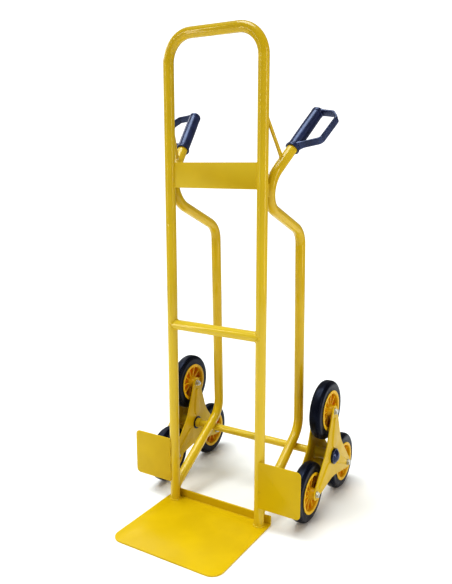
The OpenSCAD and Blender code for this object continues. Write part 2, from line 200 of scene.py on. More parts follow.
def loft(bm, loops, wrap=False):
    """A closed skin over loops of points. With wrap, the last loop joins the first."""
    rings = [[bm.verts.new(p) for p in loop] for loop in loops]
    for a, b in zip(rings, rings[1:]):
        ring_faces(bm, a, b)
    if wrap:
        ring_faces(bm, rings[-1], rings[0])
        return
    for ring in (rings[0], rings[-1]):
        if len(ring) > 2:
            bm.faces.new(ring)


def revolve(bm, profile, steps, place=Matrix.Identity(4), wrap=False):
    """Turns (x, radius) pairs about the X axis. A radius may be a function of the angle."""
    loops = []
    for x, radius in profile:
        if not callable(radius) and radius < 1e-6:
            loops.append([place @ Vector((x, 0, 0))])
            continue
        loop = []
        for i in range(steps):
            angle = 2 * math.pi * i / steps
            r = radius(angle) if callable(radius) else radius
            loop.append(place @ Vector((x, r * math.cos(angle), r * math.sin(angle))))
        loops.append(loop)
    loft(bm, loops, wrap)


def inset(loop, amount):
    """A closed flat loop moved to its left, which is into the sheet."""
    moved = []
    for i, point in enumerate(loop):
        arriving = (point - loop[i - 1]).normalized()
        leaving = (loop[(i + 1) % len(loop)] - point).normalized()
        normal = Vector((-arriving.y - leaving.y, arriving.x + leaving.x)).normalized()
        share = max(normal.dot(Vector((-arriving.y, arriving.x))), 0.3)
        moved.append(point + normal * amount / share)
    return moved


def slab(bm, loops, thickness, bevel, place):
    """A sheet on local XY with rounded edges: an anticlockwise outline, then clockwise holes."""
    steps = 3
    levels = []
    for i in range(steps + 1):
        angle = math.pi / 2 * i / steps
        levels.append((bevel * (1 - math.sin(angle)), bevel * (1 - math.cos(angle))))
    levels += [(depth, thickness - height) for depth, height in reversed(levels)]
    first_edges = []
    last_edges = []
    for loop in loops:
        rings = []
        for depth, height in levels:
            points = inset(loop, depth)
            rings.append([bm.verts.new(place @ Vector((p.x, p.y, height))) for p in points])
        for a, b in zip(rings, rings[1:]):
            ring_faces(bm, a, b)
        for ring, edges in ((rings[0], first_edges), (rings[-1], last_edges)):
            edges += [bm.edges.get((ring[i - 1], ring[i])) for i in range(len(ring))]
    normal = place.to_3x3() @ UP
    for edges in (first_edges, last_edges):
        filled = bmesh.ops.triangle_fill(bm, edges=edges, normal=normal, use_beauty=True)
        for item in filled["geom"]:
            if isinstance(item, bmesh.types.BMFace):
                item.smooth = False


def circle_hole(centre, radius, steps=40):
    return arc(Vector(centre), radius, 360, 0, steps)[:-1]


def bead(bm, path, radius, up, closed=False, place=Matrix.Identity(4)):
    """A weld bead: a roll along a path, with the ripples that welding leaves."""
    ripple = 2.4
    sides = 10
    points, distances = resampled(path, 0.6, closed)
    total = distances[-1]
    loops = []
    for i, point in enumerate(points):
        ahead = points[(i + 1) % len(points)] if closed else points[min(i + 1, len(points) - 1)]
        behind = points[i - 1] if closed else points[max(i - 1, 0)]
        tangent = (ahead - behind).normalized()
        u = (up - tangent * tangent.dot(up)).normalized()
        v = tangent.cross(u)
        phase = distances[i] / ripple
        size = radius * (0.90 + 0.14 * abs(math.sin(math.pi * phase)) + 0.05 * math.sin(1.7 * phase))
        if not closed:
            from_end = min(distances[i], total - distances[i]) / radius
            size *= math.sqrt(max(0.04, 1 - max(0.0, 1 - from_end) ** 2))
        loop = []
        for k in range(sides):
            angle = 2 * math.pi * k / sides
            loop.append(place @ (point + (u * math.cos(angle) + v * math.sin(angle)) * size))
        loops.append(loop)
    loft(bm, loops, wrap=closed)


def saddle(origin, direction, radius, post, post_dir, post_r, steps=72):
    """Where a tube that runs along direction meets the near side of a round post."""
    side = UP if abs(direction.z) < 0.9 else OUT
    u = (side - direction * direction.dot(side)).normalized()
    v = direction.cross(u)
    across = direction - post_dir * direction.dot(post_dir)
    points = []
    for i in range(steps):
        angle = 2 * math.pi * i / steps
        start = origin + (u * math.cos(angle) + v * math.sin(angle)) * radius
        offset = start - post
        offset -= post_dir * offset.dot(post_dir)
        a = across.dot(across)
        b = 2 * across.dot(offset)
        c = offset.dot(offset) - post_r * post_r
        root = math.sqrt(max(0.0, b * b - 4 * a * c))
        points.append(start + direction * (-b - root) / (2 * a))
    return points


def make_mesh(name, bm, transform=TO_ROW, sharp=32):
    bmesh.ops.recalc_face_normals(bm, faces=bm.faces)
    mesh = bpy.data.meshes.new(name)
    bm.to_mesh(mesh)
    bm.free()
    mesh.transform(transform)
    mesh.set_sharp_from_angle(angle=math.radians(sharp))
    return mesh


def make_piece(name, mesh, material, body, replaced=(), location=(0, 0, 0)):
    if not mesh.materials:
        mesh.materials.append(material)
    piece = bpy.data.objects.new(name, mesh)
    bpy.context.scene.collection.objects.link(piece)
    piece.location = location
    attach(piece, body)
    if replaced:
        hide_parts(*replaced)
    return piece


# ---- materials ----

BLUE_GLEAM = (0.50, 0.62, 1.0, 1.0)


class Graph:
    """A material's node tree, with a short call for each kind of node."""

    def __init__(self, name, **settings):
        self.material = bpy.data.materials.new(name)
        self.material.use_nodes = True
        self.tree = self.material.node_tree
        self.shader = self.tree.nodes["Principled BSDF"]
        for socket, value in settings.items():
            self.shader.inputs[socket.replace("_", " ")].default_value = value
        self.coordinates = self.tree.nodes.new("ShaderNodeTexCoord").outputs["Object"]

    def link(self, source, target):
        self.tree.links.new(source, target)

    def noise(self, scale, detail=2.0, stretch=(1, 1, 1), distortion=0.0):
        mapping = self.tree.nodes.new("ShaderNodeMapping")
        mapping.inputs["Scale"].default_value = stretch
        self.link(self.coordinates, mapping.inputs["Vector"])
        node = self.tree.nodes.new("ShaderNodeTexNoise")
        node.inputs["Scale"].default_value = scale
        node.inputs["Detail"].default_value = detail
        node.inputs["Distortion"].default_value = distortion
        self.link(mapping.outputs["Vector"], node.inputs["Vector"])
        return node.outputs["Fac"]

    def axis(self, name):
        node = self.tree.nodes.new("ShaderNodeSeparateXYZ")
        self.link(self.coordinates, node.inputs["Vector"])
        return node.outputs[name]

    def pointiness(self):
        return self.tree.nodes.new("ShaderNodeNewGeometry").outputs["Pointiness"]

    def maths(self, operation, a, b=0.0):
        node = self.tree.nodes.new("ShaderNodeMath")
        node.operation = operation
        for socket, value in zip(node.inputs, (a, b)):
            if isinstance(value, (int, float)):
                socket.default_value = value
            else:
                self.link(value, socket)
        return node.outputs[0]

    def fit(self, value, low, high, to_low=0.0, to_high=1.0):
        """The value carried smoothly from one range to another."""
        node = self.tree.nodes.new("ShaderNodeMapRange")
        node.interpolation_type = "SMOOTHSTEP"
        self.link(value, node.inputs["Value"])
        node.inputs["From Min"].default_value = low
        node.inputs["From Max"].default_value = high
        node.inputs["To Min"].default_value = to_low
        node.inputs["To Max"].default_value = to_high
        return node.outputs["Result"]

    def mix(self, factor, a, b):
        node = self.tree.nodes.new("ShaderNodeMix")
        node.data_type = "RGBA"
        self.link(factor, node.inputs[0])
        for socket, value in ((node.inputs[6], a), (node.inputs[7], b)):
            if isinstance(value, tuple):
                socket.default_value = (*value, 1.0)
            else:
                self.link(value, socket)
        return node.outputs[2]

    def bump(self, height, strength, distance, below=None):
        node = self.tree.nodes.new("ShaderNodeBump")
        node.inputs["Strength"].default_value = strength
        node.inputs["Distance"].default_value = distance
        self.link(height, node.inputs["Height"])
        if below is not None:
            self.link(below, node.inputs["Normal"])
        return node.outputs["Normal"]

    def finish(self, colour, roughness, normal):
        self.link(colour, self.shader.inputs["Base Color"])
        self.link(roughness, self.shader.inputs["Roughness"])
        self.link(normal, self.shader.inputs["Normal"])
        return self.material


def powder_coat(name, coat, scuffs_and_crease_shade):
    """Semi-gloss yellow powder coat, thinner on edges. Sheets that loads rub on get scuffs, and painted
    shade in creases.
    """
    deep = (0.595, 0.405, 0.002)
    light = (0.650, 0.450, 0.003)
    edge_tint = (0.780, 0.590, 0.040)
    rubbed = (0.460, 0.300, 0.008)
    # painted shade: the dark brown that concave creases get, as if shadowed
    painted_crease_shade = (0.300, 0.160, 0.001)
    g = Graph(name, Specular_IOR_Level=0.15, Coat_Weight=coat[0], Coat_Roughness=coat[1])
    cloud = g.fit(g.noise(9, 3), 0.35, 0.65)
    colour = g.mix(cloud, deep, light)
    edges = g.fit(g.pointiness(), 0.515, 0.60, 0.0, 0.6)
    colour = g.mix(edges, colour, edge_tint)
    roughness = g.fit(g.noise(26, 4), 0.3, 0.7, 0.30, 0.42)
    if scuffs_and_crease_shade:
        # Painted shade: concave creases, such as round stamped ribs and weld feet, are darkened as if in
        # shadow.
        crease_shade_mask = g.fit(g.pointiness(), 0.43, 0.492, 0.8, 0.0)
        colour = g.mix(crease_shade_mask, colour, painted_crease_shade)
        across = g.noise(9, 5, stretch=(3, 60, 3), distortion=0.4)
        along = g.noise(8, 5, stretch=(50, 4, 4), distortion=0.6)
        lines = g.maths("MAXIMUM", g.fit(across, 0.66, 0.72), g.fit(along, 0.68, 0.74))
        worn = g.maths("MULTIPLY", lines, g.fit(g.noise(5, 3), 0.45, 0.65, 0.0, scuffs_and_crease_shade))
        colour = g.mix(worn, colour, rubbed)
        roughness = g.maths("ADD", roughness, g.maths("MULTIPLY", worn, 0.3))
    peel = g.bump(g.noise(520, 2), 0.10, 0.0004)
    normal = g.bump(g.noise(60, 2), 0.05, 0.001, peel)
    return g.finish(colour, roughness, normal)


def rim_plastic():
    """Moulded yellow plastic, with painted shade that turns it orange down in the recesses."""
    face = (0.740, 0.465, 0.002)
    # deep is painted shade: the darker orange painted into the recesses, near the rim's middle plane
    deep = (0.660, 0.215, 0.001)
    g = Graph("rim_plastic", Specular_IOR_Level=0.28)
    # Painted shade by depth: the nearer the rim's middle plane, the more of the painted recess orange.
    depth = g.maths("ABSOLUTE", g.axis("X"))
    clear_of_recess_shade = g.fit(depth, 0.002, 0.011)
    shade = g.mix(clear_of_recess_shade, deep, face)
    # A little of the painted shade colour is also mixed in at random.
    colour = g.mix(g.fit(g.noise(40, 3), 0.35, 0.65, 0.0, 0.08), shade, deep)
    roughness = g.fit(g.noise(120, 3), 0.3, 0.7, 0.34, 0.50)
    normal = g.bump(g.noise(900, 2), 0.12, 0.0003)
    return g.finish(colour, roughness, normal)


def tyre_rubber():
    """Blue-black rubber with a little dust on the tread."""
    black = (0.0016, 0.0020, 0.0060)
    grey = (0.0042, 0.0050, 0.0110)
    dust = (0.0160, 0.0170, 0.0240)
    g = Graph("tyre_rubber", Specular_IOR_Level=0.24, Specular_Tint=BLUE_GLEAM)
    colour = g.mix(g.fit(g.noise(35, 4), 0.35, 0.65), black, grey)
    tread = g.fit(g.maths("ABSOLUTE", g.axis("X")), 0.004, 0.012, 1.0, 0.0)
    dusty = g.maths("MULTIPLY", tread, g.fit(g.noise(60, 5), 0.45, 0.75, 0.0, 0.5))
    colour = g.mix(dusty, colour, dust)
    roughness = g.fit(g.noise(90, 4), 0.3, 0.7, 0.28, 0.42)
    fine = g.bump(g.noise(1400, 2), 0.15, 0.0002)
    normal = g.bump(g.noise(160, 3), 0.10, 0.0004, fine)
    return g.finish(colour, roughness, normal)


def moulded_plastic(name, low, high, gloss, grain):
    """Dark moulded plastic. Gloss is its lowest and highest roughness."""
    g = Graph(name, Specular_IOR_Level=0.75, Specular_Tint=BLUE_GLEAM)
    colour = g.mix(g.fit(g.noise(45, 3), 0.35, 0.65), low, high)
    roughness = g.fit(g.noise(110, 4), 0.3, 0.7, gloss[0], gloss[1])
    normal = g.bump(g.noise(1100, 2), grain, 0.0003)
    return g.finish(colour, roughness, normal)


def zinc_plate():
    """Bright zinc with a faint warm and cool passivation tint."""
    g = Graph("zinc_plate", Metallic=1.0)
    tint = g.mix(g.fit(g.noise(260, 3), 0.35, 0.65), (0.42, 0.44, 0.47), (0.60, 0.60, 0.55))
    roughness = g.fit(g.noise(500, 4), 0.3, 0.7, 0.22, 0.42)
    normal = g.bump(g.noise(1500, 3), 0.18, 0.0002)
    return g.finish(tint, roughness, normal)


def studio_floor():
    g = Graph("studio_floor", Specular_IOR_Level=0.2)
    colour = g.mix(g.fit(g.noise(1.5, 3), 0.3, 0.7), (0.95, 0.95, 0.95), (0.97, 0.97, 0.97))
    roughness = g.fit(g.noise(4, 3), 0.3, 0.7, 0.62, 0.74)
    normal = g.bump(g.noise(80, 2), 0.02, 0.001)
    return g.finish(colour, roughness, normal)


TUBE_COAT = powder_coat("tube_coat", coat=(0.60, 0.06), scuffs_and_crease_shade=0.0)
SHEET_COAT = powder_coat("sheet_coat", coat=(0.12, 0.25), scuffs_and_crease_shade=0.55)
RIM = rim_plastic()
RUBBER = tyre_rubber()
GRIP = moulded_plastic("grip_plastic", (0.008, 0.011, 0.040), (0.018, 0.025, 0.080), (0.30, 0.36), 0.02)
CAP = moulded_plastic("cap_plastic", (0.004, 0.007, 0.030), (0.008, 0.013, 0.050), (0.12, 0.20), 0.02)
BUSH = moulded_plastic("bush_plastic", (0.008, 0.008, 0.010), (0.018, 0.018, 0.022), (0.45, 0.60), 0.10)
ZINC = zinc_plate()


# ---- frame sheets ----

def bent_sheet(point):
    """Wraps the toe plate's flat blank up into its lip. Y is the length along the blank."""
    flat_end = TOE_BEND_Y
    bend_len = (TOE_BEND_OUTER_R - TOE_T / 2) * math.pi / 2
    radius = TOE_BEND_OUTER_R - point.z
    past = point.y - flat_end
    if past <= 0:
        return point
    angle = min(past / bend_len, 1.0) * math.pi / 2
    y = flat_end + radius * math.sin(angle)
    z = TOE_BEND_OUTER_R - radius * math.cos(angle)
    return Vector((point.x, y, z + max(past - bend_len, 0.0)))


def toe_plate():
    bend_len = (TOE_BEND_OUTER_R - TOE_T / 2) * math.pi / 2
    blank_end = TOE_BEND_Y + bend_len + TOE_LIP_H - TOE_BEND_OUTER_R
    w = TOE_HALF_W
    corners = [(-w, TOE_FRONT_Y), (w, TOE_FRONT_Y), (w, blank_end), (-w, blank_end)]
    outline = rounded_loop(corners, [30, 30, 2, 2], steps=12)
    holes = [circle_hole((side * UPRIGHT_X, 0), TUBE_R) for side in SIDES.values()]
    bm = bmesh.new()
    slab(bm, [outline] + holes, TOE_T, 0.7, Matrix.Identity(4))
    cuts = 9
    for i in range(cuts):
        geometry = list(bm.verts) + list(bm.edges) + list(bm.faces)
        spot = (0, TOE_BEND_Y + bend_len * i / (cuts - 1), 0)
        bmesh.ops.bisect_plane(bm, geom=geometry, plane_co=spot, plane_no=(0, 1, 0), dist=0.001)
    for face in bm.faces:
        if TOE_BEND_Y < face.calc_center_median().y < TOE_BEND_Y + bend_len:
            face.smooth = True
    for vert in bm.verts:
        vert.co = bent_sheet(vert.co)
    mesh = make_mesh("toe_sheet", bm)
    make_piece("toe_sheet", mesh, SHEET_COAT, "frame", ["toe_plate"])


def wheel_guard(name, side):
    low = [(GUARD_INNER_X, 0), (GUARD_OUTER_X, 0)]
    high = [(GUARD_OUTER_X, GUARD_H), (GUARD_INNER_X, GUARD_H)]
    outline = rounded_loop(low + high, [3, 11, 11, 5], steps=8)
    origin = Vector((0, -TUBE_R, GUARD_BOTTOM_Z))
    place = mirrored(side) @ matrix_of((1, 0, 0), (0, 0, 1), (0, -1, 0), origin)
    bm = bmesh.new()
    slab(bm, [outline], GUARD_T, 0.6, place)
    mesh = make_mesh(f"guard_sheet_{name}", bm)
    make_piece(mesh.name, mesh, SHEET_COAT, "frame", [f"wheel_guard_{name}"])


def cross_plate():
    half_w = UPRIGHT_X - TUBE_R + 0.8
    half_h = CROSS_PLATE_H / 2
    corners = [(-half_w, -half_h), (half_w, -half_h), (half_w, half_h), (-half_w, half_h)]
    outline = rounded_loop(corners, [1, 1, 1, 1])
    origin = Vector((0, CROSS_PLATE_T / 2, CROSS_PLATE_Z))
    bm = bmesh.new()
    slab(bm, [outline], CROSS_PLATE_T, 0.6, matrix_of((1, 0, 0), (0, 0, 1), (0, -1, 0), origin))
    mesh = make_mesh("cross_sheet", bm)
    make_piece("cross_sheet", mesh, SHEET_COAT, "frame", ["cross_plate"])


# ---- welds ----

def post_weld(bm, origin, direction, radius, size, place):
    """The bead round a tube that ends on the right upright."""
    post = Vector((UPRIGHT_X, 0, 0))
    path = saddle(origin, direction, radius, post, UP, TUBE_R)
    bead(bm, path, size, direction, closed=True, place=place)


def foot_weld(bm, place):
    centre = Vector((UPRIGHT_X, 0, TOE_T + 0.4))
    path = [centre + Vector((*on_circle(TUBE_R + 0.9, i * 5), 0)) for i in range(72)]
    bead(bm, path, 2.3, UP, closed=True, place=place)


def cross_plate_welds(bm, place):
    for face in (-1, 1):
        y = face * (CROSS_PLATE_T / 2 + 0.5)
        x = UPRIGHT_X - math.sqrt(TUBE_R ** 2 - y ** 2)
        low = Vector((x, y, CROSS_PLATE_Z - CROSS_PLATE_H / 2 - 1))
        high = Vector((x, y, CROSS_PLATE_Z + CROSS_PLATE_H / 2 + 1))
        bead(bm, [low, high], 2.0, OUT, place=place)


def guard_welds(bm, place):
    """Three short beads on each side of the guard's inner edge."""
    weld_len = 21
    for low in (8, 49, 90):
        z = GUARD_BOTTOM_Z + low
        for x, y in ((UPRIGHT_X + 3.2, -TUBE_R), (UPRIGHT_X + 6.5, -TUBE_R + 1.0)):
            bead(bm, [Vector((x, y, z)), Vector((x, y, z + weld_len))], 1.7, OUT, place=place)


def leg_weld(bm, place):
    """The bead round a leg's foot on the back of its upright."""
    away = Vector((0, math.cos(LEG_SLOPE), math.sin(LEG_SLOPE)))
    normal = Vector((0, -math.sin(LEG_SLOPE), math.cos(LEG_SLOPE)))
    on_leg = Vector((UPRIGHT_X, AXLE_Y, AXLE_Z)) + normal * LEG_LIFT
    post_weld(bm, on_leg, -away, TUBE_R, 2.2, place)


def axle_ring(x, radius, steps=60):
    """A circle of points round the axle."""
    centre = Vector((x, AXLE_Y, AXLE_Z))
    return [centre + Vector((0, *on_circle(radius, 360 * i / steps))) for i in range(steps)]


def axle_welds(bm, place):
    """Short beads on both sides of each leg where it crosses the axle, and one round the collar."""
    collar_x = 168.9
    half_steps = 6
    for face in (-1, 1):
        path = []
        for i in range(-half_steps, half_steps + 1):
            degrees = 90 + math.degrees(LEG_SLOPE) + i * 8
            spot = on_circle(AXLE_R + 0.5, degrees)
            x = UPRIGHT_X + face * (5.5 - 0.04 * i ** 2)
            path.append(Vector((x, AXLE_Y + spot.x, AXLE_Z + spot.y)))
        bead(bm, path, 2.0, OUT, place=place)
    bead(bm, axle_ring(collar_x, AXLE_R + 0.7), 1.7, OUT, closed=True, place=place)


def elbow_welds(bm, place):
    """Two beads in the groove between the elbow and the back of the upright."""
    for degrees, low, high in ((108, 800, 832), (42, 796, 826)):
        spot = on_circle(TUBE_R + 0.6, degrees)
        path = [Vector((UPRIGHT_X + spot.x, spot.y, z)) for z in (low, high)]
        bead(bm, path, 2.4, OUT, place=place)


def brace_welds(bm, place):
    run = (BRACE_TOP - BRACE_FOOT).normalized()
    post_weld(bm, BRACE_FOOT, run, BRACE_R, 1.5, place)
    path = saddle(BRACE_TOP, -run, BRACE_R, ELBOW, HANDLE_DIR, TUBE_R)
    bead(bm, path, 1.5, run, closed=True, place=place)


def frame_welds():
    bm = bmesh.new()
    for side in SIDES.values():
        place = mirrored(side)
        post_weld(bm, Vector((0, 0, MID_TUBE_Z)), OUT, TUBE_R, 2.0, place)
        foot_weld(bm, place)
        cross_plate_welds(bm, place)
        guard_welds(bm, place)
        leg_weld(bm, place)
        axle_welds(bm, place)
        elbow_welds(bm, place)
        brace_welds(bm, place)
    mesh = make_mesh("frame_welds", bm)
    make_piece("frame_welds", mesh, TUBE_COAT, "frame")


# ---- braces ----

def brace(name, side):
    """A round rod whose lower end is pressed flat where it meets the handle tube."""
    run = (BRACE_TOP - BRACE_FOOT).normalized()
    across = HANDLE_DIR.cross(run).normalized()
    along = run.cross(across)
    start = 9.0
    end = (BRACE_TOP - BRACE_FOOT).length - 8
    pressed_len = 38
    steps = 30
    bm = bmesh.new()
    loops = []
    for i in range(steps + 1):
        distance = start + (end - start) * i / steps
        press = max(0.0, 1 - (distance - start) / pressed_len) ** 1.5
        spot = BRACE_FOOT + run * distance
        loop = []
        for k in range(24):
            angle = 2 * math.pi * k / 24
            wide = along * math.cos(angle) * (BRACE_R + 2.4 * press)
            thin = across * math.sin(angle) * (BRACE_R - 1.4 * press)
            loop.append(mirrored(side) @ (spot + wide + thin))
        loops.append(loop)
    loft(bm, loops)
    mesh = make_mesh(f"brace_rod_{name}", bm)
    make_piece(mesh.name, mesh, TUBE_COAT, "frame", [f"brace_{name}"])


# ---- grips ----

def grip_body_profile():
    """Pairs of distance along the grip and radius, from its hollow foot to its round tip."""
    profile = [(14, 0), (14, 12.6), (0.4, 12.6), (0, 13.2)]
    profile += [(0, 16.2), (0.8, 17.0), (3.2, 17.0), (4.2, 16.3)]
    profile += [(4.7, 15.2), (5.6, 14.9), (6.4, 15.5), (8.0, 15.5), (8.8, 14.8)]
    start = 10.0
    length = 104.0
    steps = 13
    for i in range(steps + 1):
        part = i / steps
        profile.append((start + length * part, 14.35 + 0.4 * math.sin(math.pi * part)))
    profile += [(116.6, 14.3), (117.3, 13.8), (118.6, 13.8), (119.3, 14.6), (120.0, 14.9), (124.5, 14.9)]
    tip = arc(Vector((124.5, 10.4)), 4.5, 90, 15, 6)
    profile += [(p.x, p.y) for p in tip[1:]]
    return profile + [(129.6, 6.0), (GRIP_LEN, 0)]


def strap_loop(point, tangent, wide, thick):
    """The knuckle guard's cross section: a rectangle with round corners."""
    w = wide / 2
    t = thick / 2
    edge_r = 1.6
    across = Vector((-tangent.y, tangent.x, 0))
    section = rounded_loop([(-w, -t), (w, -t), (w, t), (-w, t)], [edge_r] * 4, steps=4)
    return [point + UP * p.x + across * p.y for p in section]


def strap_loops():
    """Cross sections along the knuckle guard. It flares at both roots, and its outer bar is ribbed."""
    corners = [(11, 6, 0), (37, 57, 0), (110, 60, 0), (125, 44, 0), (126, 4, 0)]
    path = rounded_path(corners, [13, 8, 9])
    points, distances = resampled(path, 0.6)
    total = distances[-1]
    rib_pitch = 3.2
    loops = []
    for i, point in enumerate(points):
        tangent = (points[min(i + 1, len(points) - 1)] - points[max(i - 1, 0)]).normalized()
        root = max(0.0, 1 - distances[i] / 20)
        far_root = max(0.0, 1 - (total - distances[i]) / 17)
        flare = root ** 2 + 0.7 * far_root ** 2
        wide = 18 + 5 * flare
        thick = 5 + 8 * flare
        if point.y > 50 and 42 < point.x < 104:
            ridge = 0.9 * abs(math.sin(math.pi * distances[i] / rib_pitch)) - 0.5
            wide += 2 * ridge
            thick += 2 * ridge
        loops.append(strap_loop(point, tangent, wide, thick))
    return loops


def hand_grip(name, side):
    frame_of_grip = matrix_of(HANDLE_DIR, OUTWARD, HANDLE_DIR.cross(OUTWARD), GRIP_BASE)
    place = mirrored(side) @ frame_of_grip
    bm = bmesh.new()
    revolve(bm, grip_body_profile(), 56, place)
    loft(bm, [[place @ p for p in loop] for loop in strap_loops()])
    mesh = make_mesh(f"hand_grip_{name}", bm)
    make_piece(mesh.name, mesh, GRIP, "frame", [f"grip_{name}"])


# ---- stars ----

def star_outline():
    """Three tapered arms with round tips, joined by hollow waists."""
    tip_r = 15.0
    waist_r = 55.5
    waist_bend_r = 110.0
    waist = on_circle(waist_r, 30)
    from_waist = Vector((0, STAR_ARM)) - waist
    lean = math.degrees(math.atan2(-from_waist.x, from_waist.y) - math.asin(tip_r / from_waist.length))
    waist_centre = on_circle(waist_r + waist_bend_r / math.sin(math.radians(60 + lean)), 150)
    loop = []
    for turn in (0, 120, 240):
        spin = Matrix.Rotation(math.radians(turn), 2)
        points = arc(Vector((0, STAR_ARM)), tip_r, lean, 180 - lean, 18)
        points += arc(waist_centre, waist_bend_r, -lean, lean - 60, 12)
        loop += [spin @ p for p in points]
    return loop


def stamped_rib(bm, turn, place):
    """A long rounded rib pressed out of an arm, wider towards the hub."""
    hub_end = Vector((0, 38))
    hub_r = 13.5
    tip_end = Vector((0, 97))
    tip_r = 6.0
    height = 3.2
    lean = math.degrees(math.asin((hub_r - tip_r) / (tip_end - hub_end).length))
    spin = Matrix.Rotation(math.radians(turn), 2)
    levels = [(1.6, -0.8), (1.4, 0.0), (0.8, 0.2), (0.2, 0.9)]
    levels += [(-0.4, 1.9), (-1.0, 2.7), (-1.8, 3.1), (-3.0, height)]
    loops = []
    for grown, level in levels:
        outline = arc(tip_end, tip_r + grown, lean, 180 - lean, 14)
        outline += arc(hub_end, hub_r + grown, 180 - lean, 360 + lean, 18)
        turned = [spin @ p for p in outline]
        loops.append([place @ Vector((p.x, p.y, level)) for p in turned])
    loft(bm, loops)


def star_plate(name, side, face):
    """Local X lies on Y, local Y on Z, and local Z points out of the face that carries the ribs."""
    outer = face == "outer"
    away = Vector((1 if outer else -1, 0, 0))
    inner_x = PLATE_OUT_X if outer else PLATE_IN_X
    origin = Vector((inner_x, AXLE_Y, AXLE_Z))
    place = mirrored(side) @ matrix_of((0, 1, 0), (0, 0, 1), away, origin)
    bush_hole_r = 12.02
    bolt_hole_r = 4.2
    holes = [circle_hole((0, 0), bush_hole_r)]
    holes += [circle_hole(on_circle(STAR_ARM, angle), bolt_hole_r, 24) for angle in ARMS.values()]
    bm = bmesh.new()
    slab(bm, [star_outline()] + holes, STAR_T, 0.6, place)
    raised = place @ Matrix.Translation((0, 0, STAR_T))
    for turn in (0, 120, 240):
        stamped_rib(bm, turn, raised)
    mesh = make_mesh(f"star_sheet_{face}_{name}", bm)
    replaced = [f"star_plate_{face}_{name}"]
    make_piece(mesh.name, mesh, SHEET_COAT, f"star_{name}", replaced)


def star_welds(name, side):
    """The beads that join a star's hub tube to its two plates."""
    bm = bmesh.new()
    weld_r = 14.9
    for x in (PLATE_IN_X + 0.8, PLATE_OUT_X - 0.8):
        bead(bm, axle_ring(x, weld_r), 2.0, OUT, closed=True, place=mirrored(side))
    mesh = make_mesh(f"star_welds_{name}", bm)
    make_piece(mesh.name, mesh, TUBE_COAT, f"star_{name}")


def hub_dome(name, side):
    """A domed cap with a stepped rim, hollow where the axle's washer and clip turn."""
    skirt_r = 20.0
    skirt_h = 6.0
    rise = 15.0
    dome_edge_r = 17.2
    dome_h = 8.4
    dome_r = (dome_edge_r ** 2 + dome_h ** 2) / (2 * dome_h)
    ceiling = 7.3
    steps = 15
    profile = [(0.1, 18.1), (0.1, skirt_r - 0.3), (0.4, skirt_r), (skirt_h - 0.6, skirt_r)]
    profile += [(skirt_h, skirt_r - 0.5), (skirt_h + 0.2, skirt_r - 1.4)]
    profile += [(skirt_h + 0.3, 17.9), (skirt_h + 0.6, 17.4)]
    for i in range(1, steps):
        r = dome_edge_r * (1 - i / steps)
        profile.append((rise - dome_r + math.sqrt(dome_r ** 2 - r ** 2), r))
    profile += [(rise, 0), (ceiling, 0), (ceiling, 13.3)]
    profile += [(4.1, 13.3), (4.1, 15.3), (2.3, 15.3), (2.3, 18.1)]
    origin = Vector((PLATE_OUT_X + STAR_T, AXLE_Y, AXLE_Z))
    place = mirrored(side) @ Matrix.Translation(origin)
    inside_start = profile.index((ceiling, 0))
    outside = profile[:inside_start]
    inside = profile[inside_start:]
    bm = bmesh.new()
    revolve(bm, outside[::-1] + inside[::-1], 72, place)
    mesh = make_mesh(f"hub_dome_{name}", bm)
    make_piece(mesh.name, mesh, CAP, f"star_{name}", [f"hub_cap_{name}"])


# ---- bolts ----

HEX_FLAT = 6.5
BOLT_R = 4.0


def hexagon(limit):
    """The radius of a hexagon at an angle, cut down to a round limit by its chamfer."""
    def radius(angle):
        turn = (angle + math.pi / 6) % (math.pi / 3) - math.pi / 6
        return min(HEX_FLAT / math.cos(turn), limit)
    return radius


def thread(distance, start):
    """The radius of a bolt's thread at an angle, on a helix."""
    pitch = 1.25
    depth = 0.6

    def radius(angle):
        phase = ((distance - start) / pitch - angle / (2 * math.pi)) % 1.0
        return BOLT_R - depth * abs(2 * phase - 1)
    return radius


def arm_place(side, angle):
    spot = on_circle(STAR_ARM, angle)
    return mirrored(side) @ Matrix.Translation((0, AXLE_Y + spot.x, AXLE_Z + spot.y))


# A hexagon's chamfer: distance below the end of the head, and the round limit there
CHAMFER = ((0.9, 7.6), (0.6, 7.2), (0.3, 6.7), (0.05, 6.2))


def bolt_profile():
    tip = 170.9
    head = 238.6
    top = 243.9
    thread_start = tip + 0.9
    thread_len = 4.6
    profile = [(tip, 0), (tip, 2.9), (tip + 0.6, 3.5)]
    steps = 24
    for i in range(steps + 1):
        x = thread_start + thread_len * i / steps
        profile.append((x, thread(x, tip)))
    profile += [(177, BOLT_R), (head, BOLT_R), (head, hexagon(6.9)), (head + 0.25, hexagon(7.6))]
    profile += [(top - depth, hexagon(limit)) for depth, limit in CHAMFER]
    return profile + [(top, 5.9), (top, 4.6), (top - 0.25, 4.2), (top - 0.25, 0)]


def nut_profile():
    low = 175.9
    high = 182.4
    bore = BOLT_R + 0.1
    profile = [(low + 0.5, bore), (low, 4.7), (low, 5.9)]
    profile += [(low + depth, hexagon(limit)) for depth, limit in reversed(CHAMFER)]
    profile += [(high - depth, hexagon(limit)) for depth, limit in CHAMFER]
    return profile + [(high, 5.9), (high, bore)]


def washer_profile(x):
    corners = [(x, 4.2), (x + 1.6, 4.2), (x + 1.6, 8.0), (x, 8.0)]
    loop = rounded_loop(corners, [0.2, 0.2, 0.35, 0.35], steps=3)
    return [(p.x, p.y) for p in loop]


